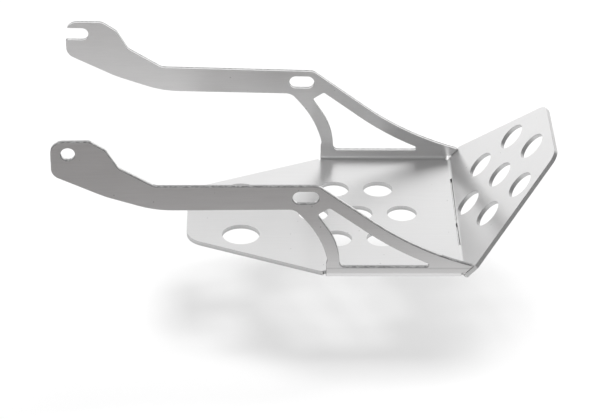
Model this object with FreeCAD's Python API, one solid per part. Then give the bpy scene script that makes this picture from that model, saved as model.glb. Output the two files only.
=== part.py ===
"""Motorcycle skid plate: one laser-cut aluminium sheet, folded up.

+X points to the front of the motorcycle, +Y to its left, +Z up. Z = 0 is the underside.
It is drawn with X = 0 where base and front plate would meet without the fold's radius,
then moved along X so that the origin is under the middle of its length. mm and degrees.
"""
import FreeCAD, Part
import math
import os

V = FreeCAD.Vector

# Sheet and folds
sheet = 3.0                      # thickness of the aluminium
bend_in = 2.0                    # inner radius of the side folds
bend_out = bend_in + sheet
front_angle = 47.3               # front plate above the base
front_bend = 4.0                 # inner radius of the front fold
wall_lean = 1.2                  # side walls lean outward from upright
arm_splay = 1.55                 # arms turn outward behind the struts
splay_x = -95.0                  # where that turn starts
splay_radius = 60.0

# Base
wall_span = 158.8                # over the outer faces of the walls at the folds
fold_rear_x = -90.1              # rear end of the side folds
fold_front_x = -1.6              # front end of the side folds
notch = 1.5                      # width of the relief notch behind each side fold
tail_x = -182.0                  # rear edge of the base
tail_width = 66.3                # width of the rear edge
tail_root = 4.1                  # its front corners, in from the walls' outer faces
tail_corner = 16.0

# Front plate, measured up its slope from X = 0, as wide as the walls below its taper
plate_length = 89.1
plate_top = 67.5                 # width of the top edge
taper_start = 10.3
plate_corner = 12.0
ear_low = -0.3                   # lower end of the plate's ears, outside the folds
fold_gap = 1.0                   # from the ears to the front fold
corner_relief = 1.2              # radius of the hole where side and front folds meet
slit_x = -0.45                   # two slits in line along the front fold
slit_left = 46.7                 # left end of the long one
slit_long = 56.0
slit_web = 4.3                   # metal left between them
slit_short = 28.5
slit_width = 1.4

# Lightening and drain holes
hole_d = 20.0
hole_pitch = 30.0
row_offset = 32.8                # side rows from the centre line
base_hole_x = -66.8              # middle hole of the base group
plate_hole_s = 41.5              # middle hole of the front plate group
tail_hole_d = 25.0
tail_hole_x = -145.7
tail_hole_y = 27.8

# Side walls, heights above the top face of the base
strip = 8.2                      # width of the brace
brace_turn = (-58.7, 39.2)       # where the brace's top edge starts to curve
brace_fall = 37.0                # its straight part, below level
brace_radius = 195.0
tip_x = 6.1                      # front end of the brace
tip_gap = 0.5                    # wall's front edge to the front plate
strut_rear = (-158.9, -2.9, 71.1)    # centre and radius of the strut's rear edge
strut_front = (-130.9, 8.5, 49.4)    # and of its front edge
window_floor = 6.2
window_tip_x = -23.4
arm_front = 67.3
arm_rear = (-200.5, 68.7)
arm_low_front = 50.45
arm_low_rear = (-200.3, 51.2)
pad_rear_x = -265.9
pad_top = 102.3
bolt_in = 11.0                   # bolt hole's centre from the pad's rear edge
bolt_down = 8.7                  # and from its top edge
bolt_d = 9.2
slot_x = -103.9
slot_z = 59.05
slot_length = 17.3
slot_height = 9.3

fold_y = wall_span / 2 - bend_out        # where the side folds start on the base
fold_z = sheet + bend_in                 # height of the side folds' centres
front_run = front_bend * math.tan(math.radians(front_angle / 2))
slope = math.tan(math.radians(front_angle))
fall = math.radians(brace_fall)


def outline(*corners):
    """Face in XY from corners (x, y), (x, y, corner radius) or (x, y, (mx, my)), where the
    edge that leaves the corner is an arc through (mx, my)."""
    legs = []
    for i, corner in enumerate(corners):
        here = V(corner[0], corner[1], 0)
        extra = corner[2] if len(corner) == 3 else 0
        if isinstance(extra, tuple):
            legs.append((here, here, None, V(extra[0], extra[1], 0)))
        elif extra:
            back = V(*corners[i - 1][:2], 0) - here
            on = V(*corners[(i + 1) % len(corners)][:2], 0) - here
            back.normalize()
            on.normalize()
            turn = back.getAngle(on) / 2
            reach = extra / math.tan(turn)
            middle = (back + on).normalize() * (extra / math.sin(turn) - extra)
            legs.append((here + back * reach, here + on * reach, here + middle, None))
        else:
            legs.append((here, here, None, None))
    edges = []
    for i, (first, last, rounding, bulge) in enumerate(legs):
        following = legs[(i + 1) % len(legs)][0]
        if rounding:
            edges.append(Part.Arc(first, rounding, last).toShape())
        if bulge:
            edges.append(Part.Arc(last, bulge, following).toShape())
        elif last.distanceToPoint(following) > 1e-6:
            edges.append(Part.makeLine(last, following))
    return Part.Face(Part.Wire(edges))


def mirrored(corners):
    """Corners on the right, then the same ones on the left, all the way round."""
    return list(corners) + [(x, -y, *rest) for x, y, *rest in reversed(corners)]


def across(face):
    """Outline drawn as (x, height above the base) made a solid on the left side."""
    solid = face.extrude(V(0, 0, wall_span))
    solid.rotate(V(0, 0, 0), V(1, 0, 0), 90)
    solid.translate(V(0, wall_span, sheet))
    return solid


def on_left(x, z, radius):
    """Drill across the left wall, height above the base."""
    return Part.makeCylinder(radius, wall_span, V(x, 0, sheet + z), V(0, 1, 0))


def onto_slope(shape):
    """Drawn flat, x up the slope and z = 0 on the inner face, then laid on the slope."""
    shape.rotate(V(0, 0, 0), V(0, -1, 0), front_angle)
    shape.translate(V(0, 0, sheet))
    return shape


def fan(radius, length, x, s_step):
    """Three holes on the centre line and two in each side row."""
    spots = [(x + k * s_step, 0) for k in (-1, 0, 1)]
    spots += [(x + k * s_step / 2, side * row_offset) for k in (-1, 1) for side in (-1, 1)]
    return [Part.makeCylinder(radius, length, V(px, py, -length / 2)) for px, py in spots]


# Base with its tail and the holes through it
ear_x = fold_rear_x - notch
base = outline(*mirrored([
    (-front_run, -fold_y),
    (fold_rear_x, -fold_y),
    (fold_rear_x, -fold_y + 1.0),
    (ear_x, -fold_y + 1.0),
    (ear_x, -wall_span / 2 + tail_root, 0.8),
    (tail_x, -tail_width / 2, tail_corner),
])).extrude(V(0, 0, sheet))
tail_holes = [Part.makeCylinder(tail_hole_d / 2, 4 * sheet, V(tail_hole_x, side * tail_hole_y, -sheet))
              for side in (-1, 1)]
base = base.cut(fan(hole_d / 2, 20, base_hole_x, hole_pitch) + tail_holes)

# Front fold and front plate
fold_section = Part.makePlane(2 * fold_y, sheet, V(-front_run, -fold_y, 0), V(1, 0, 0), V(0, 1, 0))
front_fold = fold_section.revolve(V(-front_run, 0, sheet + front_bend), V(0, -1, 0), front_angle)
front_plate = outline(*mirrored([
    (plate_length, -plate_top / 2, plate_corner),
    (taper_start, -wall_span / 2, 2.0),
    (ear_low, -wall_span / 2, 1.0),
    (ear_low, -fold_y - fold_gap),
    (front_run, -fold_y - fold_gap),
    (front_run, -fold_y),
])).extrude(V(0, 0, -sheet))
front_plate = front_plate.cut(fan(hole_d / 2, 20, plate_hole_s, hole_pitch))

# Left wall's outline: brace, arm, pad, back under the arm, strut
brace_center = (brace_turn[0] + brace_radius * math.sin(fall),
                brace_turn[1] + brace_radius * math.cos(fall))


def brace_curve(x, inset):
    """Height of the brace's curved edges, the inset one below the other."""
    radius = brace_radius + inset
    return brace_center[1] - math.sqrt(radius ** 2 - (x - brace_center[0]) ** 2)


def brace_line(x, inset):
    """Height of the brace's straight edges."""
    return brace_turn[1] + (brace_turn[0] - x) * math.tan(fall) - inset / math.cos(fall)


def strut_edge(z, arc):
    """X of a curved edge of the strut."""
    x, center_z, radius = arc
    return x + math.sqrt(radius ** 2 - (z - center_z) ** 2)


def leaving(z, arc, z_end):
    """X at z_end of the straight line that leaves the strut's curve at z."""
    x = strut_edge(z, arc)
    return x - (z_end - z) * (z - arc[1]) / (x - arc[0])


tip_shift = tip_gap / math.sin(math.radians(front_angle))
tip_z = brace_curve(tip_x, 0)
strut_top = 43.5
blank = outline(
    (bend_in / slope - tip_shift, bend_in),
    ((tip_z - 0.4) / slope - tip_shift, tip_z - 0.4),
    (tip_z / slope - tip_shift - 0.6, tip_z, (-22, brace_curve(-22, 0))),
    brace_turn,
    (brace_turn[0] - (arm_front - brace_turn[1]) / math.tan(fall), arm_front, 7.0),
    (*arm_rear, 8.0),
    (pad_rear_x + 42.4, pad_top - 19.7, 7.0),
    (pad_rear_x + 34.7, pad_top - 6.5, 2.5),
    (pad_rear_x + 24.9, pad_top, 7.0),
    (pad_rear_x, pad_top, 8.0),
    (pad_rear_x, pad_top - 24.0, 8.0),
    (pad_rear_x + 33.6, pad_top - 40.3, 70.0),
    (*arm_low_rear, 72.0),
    (leaving(strut_top, strut_rear, arm_low_front), arm_low_front, 8.0),
    (strut_edge(strut_top, strut_rear), strut_top, (strut_edge(28, strut_rear), 28)),
    (strut_edge(12.0, strut_rear), 12.0),
    (fold_rear_x, 9.0),
    (fold_rear_x, bend_in))

# Window between strut, brace and the low beam
inner_turn = (brace_turn[0] - strip * math.sin(fall), brace_turn[1] - strip * math.cos(fall))
window_end_z = brace_curve(window_tip_x - 1.5, strip)
window = outline(
    (window_tip_x, window_floor, 1.2),
    (window_tip_x, window_end_z - 0.6, 1.2),
    (window_tip_x - 2.5, brace_curve(window_tip_x - 2.5, strip), (-40, brace_curve(-40, strip))),
    inner_turn,
    (-88.5, brace_line(-88.5, strip), 1.8),
    (-96.5, 46.2, 2.0),
    (strut_edge(37, strut_front), 37, (strut_edge(24, strut_front), 24)),
    (strut_edge(11, strut_front), 11),
    (strut_edge(11, strut_front), window_floor, 3.8))

# Sheet that the wall is cut from: straight, then turned outward for the arm
turn = math.radians(arm_splay)
outer = wall_span / 2
inner = outer - sheet
pivot = outer + splay_radius


def splayed(radius, angle, run):
    """Point on the bent sheet: arc, then straight on."""
    return (splay_x - radius * math.sin(angle) - run * math.cos(angle),
            pivot - radius * math.cos(angle) + run * math.sin(angle))


plan = outline(
    (20, outer),
    (splay_x, outer, splayed(splay_radius, turn / 2, 0)),
    splayed(splay_radius, turn, 0),
    splayed(splay_radius, turn, 200),
    splayed(splay_radius + sheet, turn, 200),
    (*splayed(splay_radius + sheet, turn, 0), splayed(splay_radius + sheet, turn / 2, 0)),
    (splay_x, inner),
    (20, inner))
wall_sheet = plan.extrude(V(0, 0, sheet + 120))

mid_slot = outline(
    *[(slot_x + a * slot_length / 2, slot_z + b * slot_height / 2, slot_height / 2 - 0.001)
      for a, b in ((1, 1), (-1, 1), (-1, -1), (1, -1))])
wall = across(blank).common(wall_sheet).cut([across(window), across(mid_slot)])
bolt_x = pad_rear_x + bolt_in
bolt_z = pad_top - bolt_down
bolt = on_left(bolt_x, bolt_z, bolt_d / 2)
hook = across(outline(
    (bolt_x, bolt_z + bolt_d / 2), (pad_rear_x - 5, bolt_z + bolt_d / 2),
    (pad_rear_x - 5, bolt_z - bolt_d / 2), (bolt_x, bolt_z - bolt_d / 2)))


def folded(wall):
    """Lean the left wall outward and add its fold along the base."""
    side = wall.copy()
    side.rotate(V(0, fold_y, fold_z), V(1, 0, 0), -wall_lean)
    length = fold_front_x - fold_rear_x
    section = Part.makePlane(length, sheet, V(fold_rear_x, fold_y, sheet), V(0, 1, 0), V(1, 0, 0))
    fold = section.revolve(V(0, fold_y, fold_z), V(1, 0, 0), 90 - wall_lean)
    return [side, fold]


# Left wall has the open hook, right wall the round hole
left = folded(wall.cut([bolt, hook]))
right = [shape.mirror(V(0, 0, 0), V(0, 1, 0)) for shape in folded(wall.cut(bolt))]
skid_plate = base.fuse([front_fold, onto_slope(front_plate)] + left + right)

# Relief holes where the folds meet, and the slits along the front fold
reliefs = [Part.makeCylinder(corner_relief, sheet + fold_z,
                             V(fold_front_x, side * (fold_y + 0.8), -sheet))
           for side in (-1, 1)]
slit_right = slit_left - slit_long - slit_web - slit_short
slits = [Part.makeBox(slit_width, length, 6 * sheet, V(slit_x - slit_width / 2, y, -3 * sheet))
         for y, length in ((slit_left - slit_long, slit_long), (slit_right, slit_short))]
skid_plate = skid_plate.cut(reliefs + slits).removeSplitter()

skid_plate = skid_plate.Solids[0]
skid_plate.translate(V(-skid_plate.BoundBox.Center.x, 0, 0))

os.makedirs("parts", exist_ok=True)
skid_plate.exportStep("parts/skid_plate.step")
print("skid_plate", skid_plate.isValid(), skid_plate.BoundBox, round(skid_plate.Volume))
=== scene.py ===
import math
import bpy
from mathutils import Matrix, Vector


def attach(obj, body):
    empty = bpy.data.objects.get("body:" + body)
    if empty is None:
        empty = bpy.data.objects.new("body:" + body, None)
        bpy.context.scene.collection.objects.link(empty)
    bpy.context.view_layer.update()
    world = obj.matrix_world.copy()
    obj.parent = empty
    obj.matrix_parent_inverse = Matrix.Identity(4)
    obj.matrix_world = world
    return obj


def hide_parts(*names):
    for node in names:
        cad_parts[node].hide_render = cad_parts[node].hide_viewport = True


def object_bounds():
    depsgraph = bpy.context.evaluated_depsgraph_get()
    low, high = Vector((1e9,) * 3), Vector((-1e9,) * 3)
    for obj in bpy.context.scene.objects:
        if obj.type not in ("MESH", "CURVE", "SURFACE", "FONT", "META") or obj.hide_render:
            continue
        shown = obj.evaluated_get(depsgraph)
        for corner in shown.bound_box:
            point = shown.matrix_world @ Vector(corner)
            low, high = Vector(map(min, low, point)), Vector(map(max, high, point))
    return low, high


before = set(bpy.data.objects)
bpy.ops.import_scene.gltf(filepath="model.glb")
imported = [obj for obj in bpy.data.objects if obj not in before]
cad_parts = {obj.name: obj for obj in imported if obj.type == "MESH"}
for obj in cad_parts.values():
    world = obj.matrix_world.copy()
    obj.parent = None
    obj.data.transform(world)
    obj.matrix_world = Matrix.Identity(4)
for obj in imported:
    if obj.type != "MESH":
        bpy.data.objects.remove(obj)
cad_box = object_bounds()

# Camera: on the right of the motorcycle and above it, far away with a long lens, so that
# the two side walls look nearly parallel, as in the photograph.
camera_data = bpy.data.cameras.new("camera")
camera_data.lens = 162.53
camera_data.sensor_width = 36.0
camera = bpy.data.objects.new("camera", camera_data)
camera.location = (-0.040072, -1.579306, 0.935322)
camera.rotation_euler = [math.radians(angle) for angle in (59.5311, -0.6037, -0.9467)]
bpy.context.scene.collection.objects.link(camera)
bpy.context.scene.camera = camera
bpy.context.scene.view_settings.view_transform = "Standard"

# Folded sheet: the whole skid plate is one laser-cut sheet of 3 mm aluminium, brushed from
# front to rear and then folded. It is bolted to the frame at the arms' rear ends and through
# their slots. Its rims are dark from the laser and slightly eased; at the slits the dark is
# partly painted shade.
bpy.ops.object.select_all(action="DESELECT")
sheet = bpy.data.objects.new("folded_sheet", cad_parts["skid_plate"].data.copy())
bpy.context.scene.collection.objects.link(sheet)
bpy.context.view_layer.objects.active = sheet
sheet.select_set(True)
sheet.data.materials.clear()

thickness = 0.003
front_slope = math.radians(47.3)
slope_foot = Vector((0.101636, 0, thickness))    # where base and front plate would meet
slope_up = Vector((math.cos(front_slope), 0, math.sin(front_slope)))
slope_normal = Vector((-math.sin(front_slope), 0, math.cos(front_slope)))
wall_fold_y = 0.0744                             # where the side folds start
wall_fold_z = 0.005                              # and where they end, halfway up
crease = math.radians(38)                        # what turns more than this is an edge

bpy.ops.mesh.customdata_custom_splitnormals_clear()
bpy.ops.object.mode_set(mode="EDIT")
bpy.ops.mesh.select_all(action="SELECT")
bpy.ops.mesh.remove_doubles(threshold=0.00001)
bpy.ops.mesh.dissolve_limited(angle_limit=math.radians(0.4))
bpy.ops.object.mode_set(mode="OBJECT")

# Two slits in line make the front fold easy to bend. Bending has closed them a little.
slit_x = 0.101186
slit_ends = (-0.0421, 0.0467)
slit_half = 0.0007
slit_closed = 0.00035


def by_slits(point, sideways, endways=0.0001):
    """Whether a point lies within these distances of the line that the slits follow."""
    along = slit_ends[0] - endways < point.y < slit_ends[1] + endways
    return along and abs(point.x - slit_x) < sideways


for vertex in sheet.data.vertices:
    if by_slits(vertex.co, slit_half + 0.00005):
        vertex.co.x -= math.copysign(slit_closed, vertex.co.x - slit_x)

# Which way the grain and the cut run: every face belongs to the front plate, to a wall or to
# the base, and is either a brushed face of the sheet or a laser-cut edge. The right wall's
# upward edges were cut with more dross.
BRUSHED, BRUSHED_SLOPE, CUT_BASE, CUT_WALL, CUT_SLOPE, DROSS, BURN_AND_SLIT_SHADE, RIM = range(8)
past_front_fold = 0.0008
for face in sheet.data.polygons:
    center, normal = face.center, face.normal
    up = (center - slope_foot).dot(slope_up)
    off_plate = abs((center - slope_foot).dot(slope_normal))
    if up > past_front_fold and off_plate < thickness + 0.0001:
        is_flat = abs(normal.dot(slope_normal)) > 0.7
        face.material_index = BRUSHED_SLOPE if is_flat else CUT_SLOPE
    elif abs(center.y) > wall_fold_y:
        if center.z < wall_fold_z:
            is_flat = math.hypot(normal.y, normal.z) > 0.9
        else:
            is_flat = abs(normal.y) > 0.7
        face.material_index = BRUSHED if is_flat else CUT_WALL
        if not is_flat and center.y < 0 and normal.z > 0.93:
            face.material_index = DROSS
    else:
        face.material_index = BRUSHED if abs(normal.z) > 0.6 else CUT_BASE

# The laser came out on the side that is now outside and below. The rims of that side and of
# the slits are eased; those of the other side stay nearly sharp.
rim_width = 0.0003
well_eased, hardly_eased = 1.0, 0.3
beside_edge = {}
for face in sheet.data.polygons:
    for key in face.edge_keys:
        beside_edge.setdefault(key, []).append(face)
easing = sheet.data.attributes.new("bevel_weight_edge", "FLOAT", "EDGE")
for edge in sheet.data.edges:
    first, second = beside_edge[edge.key]
    if first.normal.angle(second.normal) < crease:
        continue
    plain = first if first.material_index in (BRUSHED, BRUSHED_SLOPE) else second
    if plain.material_index == BRUSHED_SLOPE:
        outward = -slope_normal
    elif abs(plain.center.y) > wall_fold_y:
        outward = Vector((0, math.copysign(1, plain.center.y), 0))
    else:
        outward = Vector((0, 0, -1))
    at_slit = by_slits((first.center + second.center) / 2, 0.0015)
    eased_here = at_slit or plain.normal.dot(outward) > 0
    easing.data[edge.index].value = well_eased if eased_here else hardly_eased


def feed(tree, socket, value):
    """Link a socket to another, or set it where the value is plain."""
    if isinstance(value, bpy.types.NodeSocket):
        tree.links.new(value, socket)
    else:
        socket.default_value = value


def node(tree, kind, **values):
    """A new node with its settings and its sockets filled in."""
    made = tree.nodes.new(kind)
    for name, value in values.items():
        if name in made.bl_rna.properties:
            setattr(made, name, value)
        else:
            feed(tree, made.inputs[name.replace("_", " ")], value)
    return made


def calc(tree, operation, *terms, **settings):
    """Result of a calculation with up to three terms."""
    made = node(tree, "ShaderNodeMath", operation=operation, **settings)
    for socket, term in zip(made.inputs, terms):
        feed(tree, socket, term)
    return made.outputs[0]


def carried_over(tree, value, start, end, low=0.0, high=1.0):
    """What lies between start and end, carried over to low and high."""
    return node(tree, "ShaderNodeMapRange", Value=value, From_Min=start, From_Max=end,
                To_Min=low, To_Max=high).outputs[0]


def mixed_color(tree, factor, first, second, blend="MIX"):
    """Two colours mixed or multiplied."""
    return node(tree, "ShaderNodeMix", data_type="RGBA", blend_type=blend,
                Factor=factor, A=first, B=second).outputs["Result"]


def streaks(tree, place, scale, detail, roughness):
    """Noise that is drawn out in the directions whose scale is small."""
    drawn_out = node(tree, "ShaderNodeMapping", Vector=place, Scale=scale).outputs["Vector"]
    return node(tree, "ShaderNodeTexNoise", Vector=drawn_out, Scale=1.0, Detail=detail,
                Roughness=roughness).outputs["Fac"]


def bare_metal(name):
    """New metal, with its shader and the place of each point on the plate."""
    material = bpy.data.materials.new(name)
    material.use_nodes = True
    tree = material.node_tree
    shader = tree.nodes["Principled BSDF"]
    shader.inputs["Metallic"].default_value = 1.0
    place = tree.nodes.new("ShaderNodeTexCoord").outputs["Object"]
    return material, tree, shader, place


def turned_up(tree, place, tilt):
    """Place turned so that X runs up a slope."""
    return node(tree, "ShaderNodeMapping", Vector=place, Rotation=(0, tilt, 0)).outputs["Vector"]


def fold_mark(tree, place):
    """Faint dark line where the press has held the walls, a little above the side folds."""
    spot = node(tree, "ShaderNodeSeparateXYZ", Vector=place).outputs
    ramp_top = 0.02
    ramp = tree.nodes.new("ShaderNodeValToRGB")
    feed(tree, ramp.inputs[0], carried_over(tree, spot["Z"], 0.0, ramp_top))
    stops = ramp.color_ramp.elements
    stops[0].position, stops[0].color = 0.0, (1, 1, 1, 1)
    stops[1].position, stops[1].color = 0.46, (1, 1, 1, 1)
    for position, level in ((0.385, 0.97), (0.41, 0.80), (0.43, 0.80), (0.45, 1.0)):
        stops.new(position).color = (level, level, level, 1)
    past_fold = calc(tree, "GREATER_THAN", calc(tree, "ABSOLUTE", spot["Y"]), wall_fold_y + 0.0035)
    return ramp.outputs["Color"], past_fold


def brushed(name, tilt, dark, light):
    """Aluminium with long scratches along X, or up the slope where it is tilted."""
    material, tree, shader, place = bare_metal(name)
    turned = turned_up(tree, place, tilt)
    fine = streaks(tree, turned, (30, 2600, 2600), 3.0, 0.6)
    broad = streaks(tree, turned, (25, 700, 700), 2.0, 0.5)
    scratches = calc(tree, "MULTIPLY_ADD", broad, 0.6, fine)
    tone = carried_over(tree, scratches, 0.5, 1.1)
    color = mixed_color(tree, tone, (dark, dark - 0.002, dark - 0.002, 1),
                        (light, light - 0.002, light - 0.002, 1))
    mark, past_fold = fold_mark(tree, place)
    color = mixed_color(tree, past_fold, color, mark, blend="MULTIPLY")
    specks = node(tree, "ShaderNodeTexVoronoi", Vector=place, Scale=100.0).outputs["Distance"]
    specks = carried_over(tree, specks, 0.02, 0.045, 0.45, 1.0)
    color = mixed_color(tree, 1.0, color, specks, blend="MULTIPLY")
    feed(tree, shader.inputs["Base Color"], color)
    feed(tree, shader.inputs["Roughness"], carried_over(tree, scratches, 0.5, 1.1, 0.28, 0.34))
    bump = node(tree, "ShaderNodeBump", Strength=0.12, Distance=0.00003, Height=scratches)
    feed(tree, shader.inputs["Normal"], bump.outputs[0])
    shader.inputs["Anisotropic"].default_value = 0.7
    shader.inputs["Anisotropic Rotation"].default_value = 0.25
    grain = node(tree, "ShaderNodeCombineXYZ", X=math.cos(tilt), Y=0.0, Z=math.sin(tilt))
    feed(tree, shader.inputs["Tangent"], grain.outputs[0])
    return material


def cut_edge(name, tilt, scale, dark, light):
    """Laser-cut edge: fine ridges run straight through the sheet; the base's darken downward."""
    material, tree, shader, place = bare_metal(name)
    ridges = streaks(tree, turned_up(tree, place, tilt), scale, 4.0, 0.65)
    height = node(tree, "ShaderNodeSeparateXYZ", Vector=place).outputs["Z"]
    tone = calc(tree, "MULTIPLY", ridges, carried_over(tree, height, 0.0, thickness, 0.2, 1.0))
    color = mixed_color(tree, tone, (dark, dark, dark, 1), (light, light, light, 1))
    feed(tree, shader.inputs["Base Color"], color)
    feed(tree, shader.inputs["Roughness"], carried_over(tree, ridges, 0.3, 0.7, 0.38, 0.55))
    bump = node(tree, "ShaderNodeBump", Strength=0.5, Distance=0.0001, Height=ridges)
    feed(tree, shader.inputs["Normal"], bump.outputs[0])
    return material


def burn_and_shade(name, dark, light):
    """Dark skin that the laser leaves beside the cut, worn through in places; at the slits it is
    partly painted shade.
    """
    material, tree, shader, place = bare_metal(name)
    worn = node(tree, "ShaderNodeTexNoise", Vector=place, Scale=450.0, Detail=3.0, Roughness=0.6)
    worn = carried_over(tree, worn.outputs["Fac"], 0.40, 0.66)
    color = mixed_color(tree, worn, (dark, dark, dark, 1), (light, light, light, 1))
    feed(tree, shader.inputs["Base Color"], color)
    shader.inputs["Roughness"].default_value = 0.5
    return material


close, through = 2200, 60
down_through = (close, close, through)
side_through = (close, through, close)
# The front plate's metal is a little darker than the base's, though both are the same sheet:
# painted shade.
for material in (brushed("brushed_lengthwise", 0.0, 0.75, 0.79),
                 brushed("brushed_up_the_slope_painted_shade", front_slope, 0.71, 0.74),
                 cut_edge("cut_through_base", 0.0, down_through, 0.45, 0.90),
                 cut_edge("cut_through_walls", 0.0, side_through, 0.68, 0.92),
                 cut_edge("cut_through_front_plate", front_slope, down_through, 0.52, 0.84),
                 cut_edge("cut_with_dross", 0.0, (900, 500, 900), 0.12, 0.85),
                 burn_and_shade("burnt_by_laser_and_slit_shade", 0.20, 0.54),
                 burn_and_shade("eased_rim", 0.40, 0.64)):
    sheet.data.materials.append(material)

eased = sheet.modifiers.new("eased rims", "BEVEL")
eased.width = rim_width
eased.segments = 2
eased.limit_method = "WEIGHT"
eased.use_clamp_overlap = False
eased.harden_normals = True
eased.loop_slide = False
eased.material = RIM
even = sheet.modifiers.new("even shading", "WEIGHTED_NORMAL")
even.keep_sharp = True
bpy.ops.object.shade_smooth_by_angle(angle=crease)
bpy.ops.object.modifier_apply(modifier="eased rims")

# The walls' cut edges are burnt along the outer side, in a narrow band. The slits are dark all
# over, partly from the laser's burn and partly as painted shade of the narrow slits. Each cut edge
# is inset, and the ring that is left on its outer side is the band.
burnt_band = 0.0011
wall_cuts = (CUT_WALL, DROSS)
slit_cuts = (CUT_BASE, CUT_SLOPE, RIM)
for face in sheet.data.polygons:
    face.select = face.material_index in wall_cuts
bpy.ops.object.mode_set(mode="EDIT")
bpy.ops.mesh.select_mode(type="FACE")
bpy.ops.mesh.inset(thickness=burnt_band, use_even_offset=False, use_boundary=True)
bpy.ops.object.mode_set(mode="OBJECT")
inset_center = {}
for face in sheet.data.polygons:
    if face.select:
        for key in face.edge_keys:
            inset_center[key] = face.center
for face in sheet.data.polygons:
    inner_edges = [key for key in face.edge_keys if key in inset_center]
    if face.material_index in wall_cuts and not face.select and inner_edges:
        from_middle = face.center - inset_center[inner_edges[0]]
        if from_middle.y * face.center.y > 0:
            face.material_index = BURN_AND_SLIT_SHADE
    # The slits' walls and rims take the dark colour all over: partly burn, partly painted shade.
    elif face.material_index in slit_cuts and by_slits(face.center, 0.0012, 0.0004):
        face.material_index = BURN_AND_SLIT_SHADE
bpy.ops.object.mode_set(mode="EDIT")
bpy.ops.mesh.select_all(action="SELECT")
bpy.ops.mesh.quads_convert_to_tris(quad_method="BEAUTY", ngon_method="BEAUTY")
bpy.ops.object.mode_set(mode="OBJECT")
for vertex in sheet.data.vertices:               # easing must not reach outside the sheet
    for axis in range(3):
        vertex.co[axis] = min(max(vertex.co[axis], cad_box[0][axis]), cad_box[1][axis])
bpy.ops.object.modifier_apply(modifier="even shading")

# The front fold is one even arc, so its shading points straight at the arc's axis.
fold_radius = 0.004
fold_axis = slope_foot + Vector((-fold_radius * math.tan(front_slope / 2), 0, fold_radius))
corner_normals = [corner.vector.copy() for corner in sheet.data.corner_normals]
for face in sheet.data.polygons:
    slant = math.atan2(-face.normal.x, face.normal.z) % math.pi
    in_fold = math.radians(1) < slant < front_slope - math.radians(1)
    if in_fold and abs(face.normal.y) < 0.05 and face.material_index in (BRUSHED, BRUSHED_SLOPE):
        for loop in face.loop_indices:
            vertex = sheet.data.vertices[sheet.data.loops[loop].vertex_index].co
            inward = Vector((fold_axis.x - vertex.x, 0, fold_axis.z - vertex.z)).normalized()
            corner_normals[loop] = inward if face.normal.z > 0 else -inward
sheet.data.normals_split_custom_set(corner_normals)

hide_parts("skid_plate")
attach(sheet, "root")

# Floor: plain white paper, 70 mm below the plate, which is held up so that light passes
# under it and only a pale, soft shadow falls. Part of its white is its own, more of it where
# the metal shows it, so that it looks white and still takes the shadow.
floor_z = -0.070
bpy.ops.mesh.primitive_plane_add(size=24, location=(0, 0, floor_z))
floor = bpy.context.active_object
floor.name = "floor"
paper = bpy.data.materials.new("white_paper")
paper.use_nodes = True
tree = paper.node_tree
lit = tree.nodes["Principled BSDF"]
lit.inputs["Base Color"].default_value = (0.9, 0.9, 0.9, 1)
lit.inputs["Roughness"].default_value = 0.9
lit.inputs["Specular IOR Level"].default_value = 0.0
ray = tree.nodes.new("ShaderNodeLightPath").outputs
seen = calc(tree, "MAXIMUM", ray["Is Camera Ray"], ray["Is Transmission Ray"])
own_white = calc(tree, "MULTIPLY_ADD", ray["Is Glossy Ray"], 0.8,
                 calc(tree, "MULTIPLY", seen, 0.5), use_clamp=True)
white = node(tree, "ShaderNodeEmission", Color=(1, 1, 1, 1), Strength=1.0)
both = tree.nodes.new("ShaderNodeMixShader")
feed(tree, both.inputs[0], own_white)
feed(tree, both.inputs[1], lit.outputs[0])
feed(tree, both.inputs[2], white.outputs[0])
feed(tree, tree.nodes["Material Output"].inputs["Surface"], both.outputs[0])
floor.data.materials.append(paper)

# Light: a tall white wall of light behind, which the base and the front plate show, another
# in front on the left, which the walls show by way of the base, a lamp overhead for the
# paper, and an even, dim room.
world = bpy.data.worlds.new("room")
bpy.context.scene.world = world
world.use_nodes = True
world.node_tree.nodes["Background"].inputs["Color"].default_value = (1, 1, 1, 1)
world.node_tree.nodes["Background"].inputs["Strength"].default_value = 0.25


def lamp(name, place, aim, size, brightness):
    """Rectangular soft lamp of a given brightness, where 1 looks white."""
    data = bpy.data.lights.new(name, "AREA")
    data.shape = "RECTANGLE"
    data.size, data.size_y = size
    data.energy = brightness * math.pi * size[0] * size[1]
    made = bpy.data.objects.new(name, data)
    bpy.context.scene.collection.objects.link(made)
    made.location = place
    made.rotation_euler = (Vector(aim) - Vector(place)).to_track_quat("-Z", "Y").to_euler()
    made.visible_camera = False
    return made


lamp("back_light", (0.25, 1.0, 0.52), (0.25, 0, 0.52), (2.4, 1.17), 1.07)
lamp("front_light", (-0.78, -2.2, 1.35), (-0.78, 0, 1.35), (1.6, 2.0), 1.35)
paper_lamp = lamp("paper_lamp", (0.6, 0.1, 3.0), (0.1, 0, 0), (1.6, 1.6), 10.2)
paper_lamp.visible_glossy = False                # it brightens the paper alone, not the metal

# Dark cards: they lie on the paper on both sides, outside the picture, and make the walls'
# outer faces look as grey as they do in the photograph. Only the metal shows them.
card_color = bpy.data.materials.new("dark_card")
card_color.use_nodes = True
matt = card_color.node_tree.nodes["Principled BSDF"]
matt.inputs["Base Color"].default_value = (0.212, 0.2, 0.198, 1)
matt.inputs["Roughness"].default_value = 1.0
for name, card_y in (("dark_card", -0.708), ("dark_card_behind", 0.708)):
    bpy.ops.mesh.primitive_plane_add(size=1, location=(0, card_y, floor_z + 0.001))
    card = bpy.context.active_object
    card.name = name
    card.scale = (2.4, 1.0, 1)
    card.data.materials.append(card_color)
    card.visible_camera = card.visible_diffuse = card.visible_shadow = False
